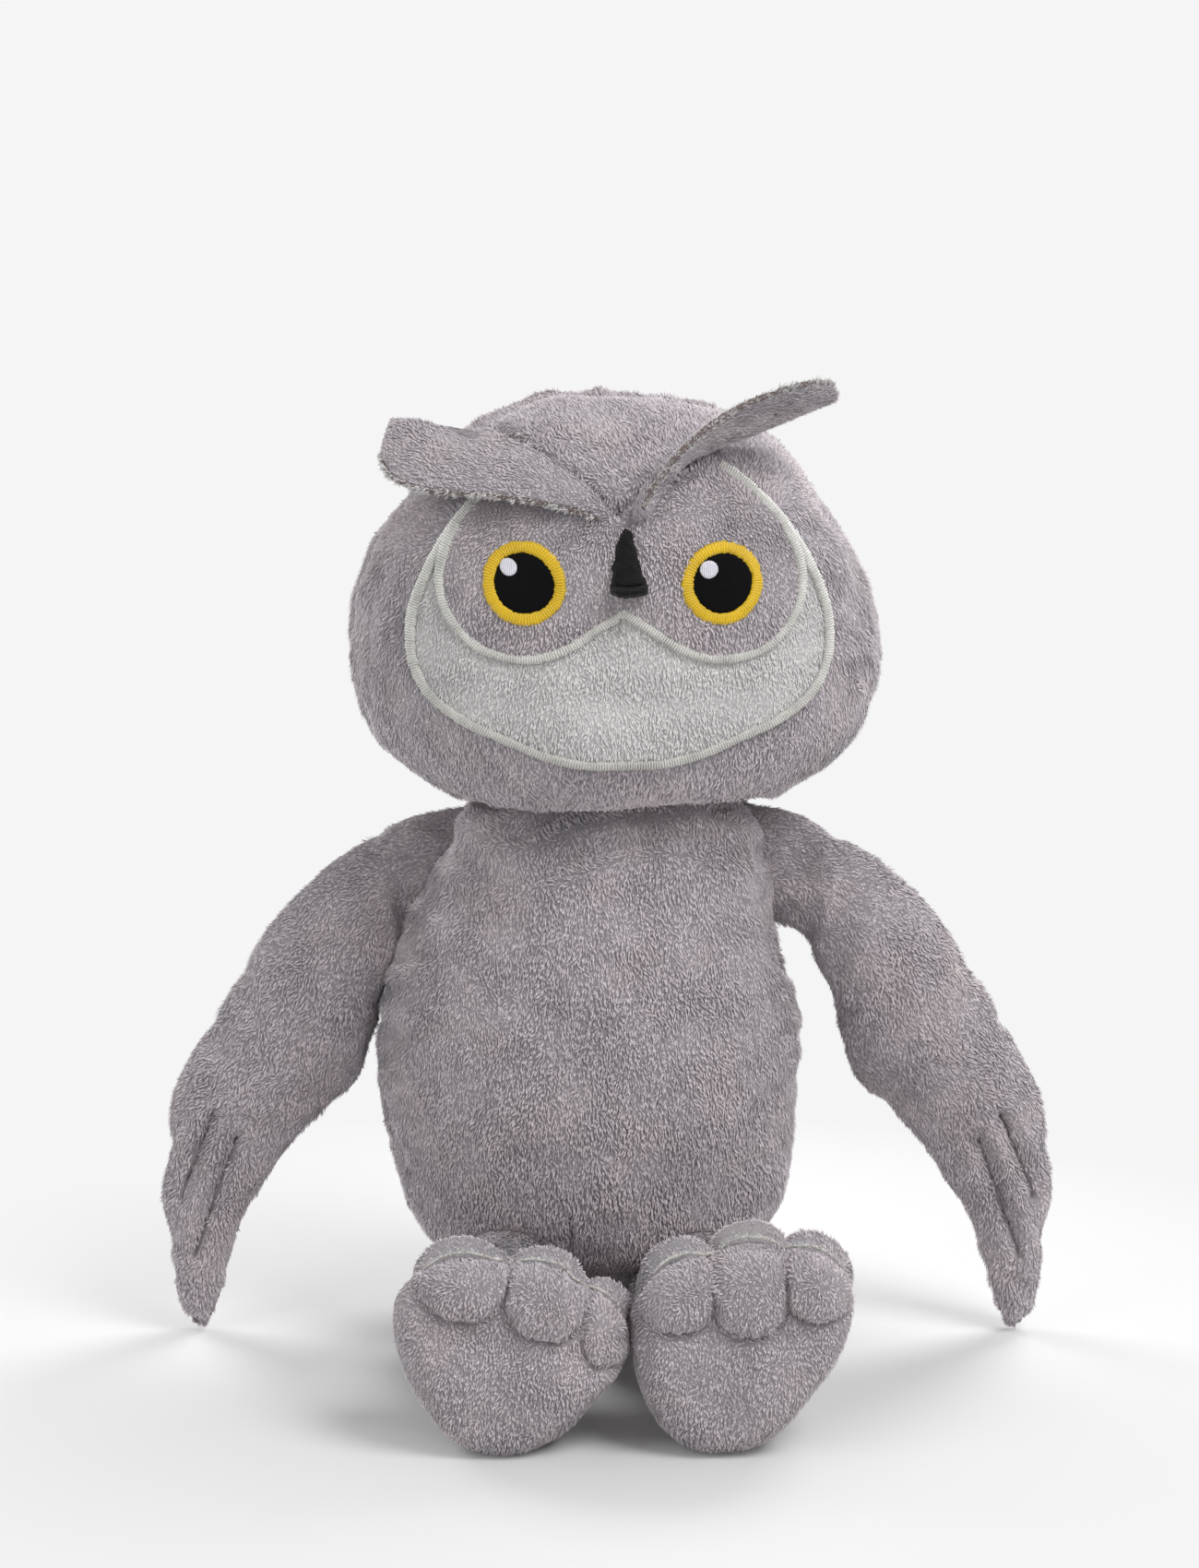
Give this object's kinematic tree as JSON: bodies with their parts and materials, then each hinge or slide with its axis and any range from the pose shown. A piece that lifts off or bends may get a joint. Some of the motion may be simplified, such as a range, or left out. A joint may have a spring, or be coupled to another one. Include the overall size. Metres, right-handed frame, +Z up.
{
  "type": "plush owl",
  "caption": "Seated plush owl: pear-shaped body, wide head with applique face and sewn brow flaps, feathered wings, short legs with toed feet.",
  "frame": {"origin": "middle of the flat seat under the body, on the surface it sits on", "axes": "+Z up, the owl faces -Y, its own left side is at +X"},
  "size_m": [0.251, 0.1728, 0.2756],
  "materials": {
    "grey_plush": "short-pile plush, warm mid grey",
    "pale_plush": "short-pile plush, pale grey",
    "pale_thread": "satin stitch, pale grey-beige",
    "yellow_thread": "satin stitch, yellow",
    "black_thread": "satin stitch, black",
    "white_thread": "satin stitch, white",
    "black_cloth": "folded smooth cloth, black",
    "white_filling": "loose polyester filling, white",
    "bag_cloth": "plain woven cotton, off-white"
  },
  "bodies": {
    "body": {"body_base_panel": "grey_plush", "body_front_panel": "grey_plush", "body_back_panel": "grey_plush", "pellet_bag": "bag_cloth", "body_filling": "white_filling"},
    "neck": {"neck_wad": "white_filling"},
    "head": {"head_face_panel": "grey_plush", "head_crown_panel": "grey_plush", "head_back_panel": "grey_plush", "head_filling": "white_filling", "face_patch": "pale_plush", "eye_mask_patch": "grey_plush", "face_border_stitching": "pale_thread", "mask_border_stitching": "pale_thread", "left_eye_ring": "yellow_thread", "left_pupil": "black_thread", "left_eye_glint": "white_thread", "right_eye_ring": "yellow_thread", "right_pupil": "black_thread", "right_eye_glint": "white_thread", "beak": "black_cloth"},
    "right_brow": {"right_brow_top_layer": "grey_plush", "right_brow_under_layer": "grey_plush"},
    "left_brow": {"left_brow_top_layer": "grey_plush", "left_brow_under_layer": "grey_plush"},
    "right_wing": {"right_wing_front_panel": "grey_plush", "right_wing_back_panel": "grey_plush", "right_wing_filling": "white_filling"},
    "left_wing": {"left_wing_front_panel": "grey_plush", "left_wing_back_panel": "grey_plush", "left_wing_filling": "white_filling"},
    "right_leg": {"right_leg_cover": "grey_plush", "right_leg_filling": "white_filling"},
    "right_foot": {"right_foot_sole_panel": "grey_plush", "right_foot_upper_panel": "grey_plush", "right_foot_filling": "white_filling"},
    "left_leg": {"left_leg_cover": "grey_plush", "left_leg_filling": "white_filling"},
    "left_foot": {"left_foot_sole_panel": "grey_plush", "left_foot_upper_panel": "grey_plush", "left_foot_filling": "white_filling"}
  },
  "joints": [
    {"name": "head_nod", "type": "hinge", "parent": "body", "child": "neck", "pos_m": [0.005, 0, 0.138], "axis": [1, 0, 0], "range_deg": [-10, 12]},
    {"name": "head_turn", "type": "hinge", "parent": "neck", "child": "head", "pos_m": [0.005, 0, 0.138], "axis": [0, 0, 1], "range_deg": [-40, 40]},
    {"name": "right_brow_lift", "type": "hinge", "parent": "head", "child": "right_brow", "pos_m": [-0.00896, -0.04034, 0.25099], "axis": [-0.6674, 0.6026, 0.4374], "range_deg": [0, 55]},
    {"name": "left_brow_lift", "type": "hinge", "parent": "head", "child": "left_brow", "pos_m": [0.02288, -0.03975, 0.25107], "axis": [-0.6417, -0.611, -0.4635], "range_deg": [-74, 6]},
    {"name": "right_wing_swing", "type": "hinge", "parent": "body", "child": "right_wing", "pos_m": [-0.037, 0, 0.154], "axis": [0.2079, 0, 0.9781], "range_deg": [-25, 40]},
    {"name": "left_wing_swing", "type": "hinge", "parent": "body", "child": "left_wing", "pos_m": [0.047, 0, 0.154], "axis": [0.2079, 0, -0.9781], "range_deg": [-25, 40]},
    {"name": "right_leg_drop", "type": "hinge", "parent": "body", "child": "right_leg", "pos_m": [-0.0265, -0.037, 0.015], "axis": [1, 0, 0], "range_deg": [-12, 60]},
    {"name": "left_leg_drop", "type": "hinge", "parent": "body", "child": "left_leg", "pos_m": [0.0265, -0.037, 0.015], "axis": [1, 0, 0], "range_deg": [-12, 60]},
    {"name": "right_ankle_flex", "type": "hinge", "parent": "right_leg", "child": "right_foot", "pos_m": [-0.021, -0.084, 0.021], "axis": [1, 0, 0], "range_deg": [-15, 15]},
    {"name": "left_ankle_flex", "type": "hinge", "parent": "left_leg", "child": "left_foot", "pos_m": [0.039, -0.084, 0.021], "axis": [1, 0, 0], "range_deg": [-15, 15]}
  ]
}
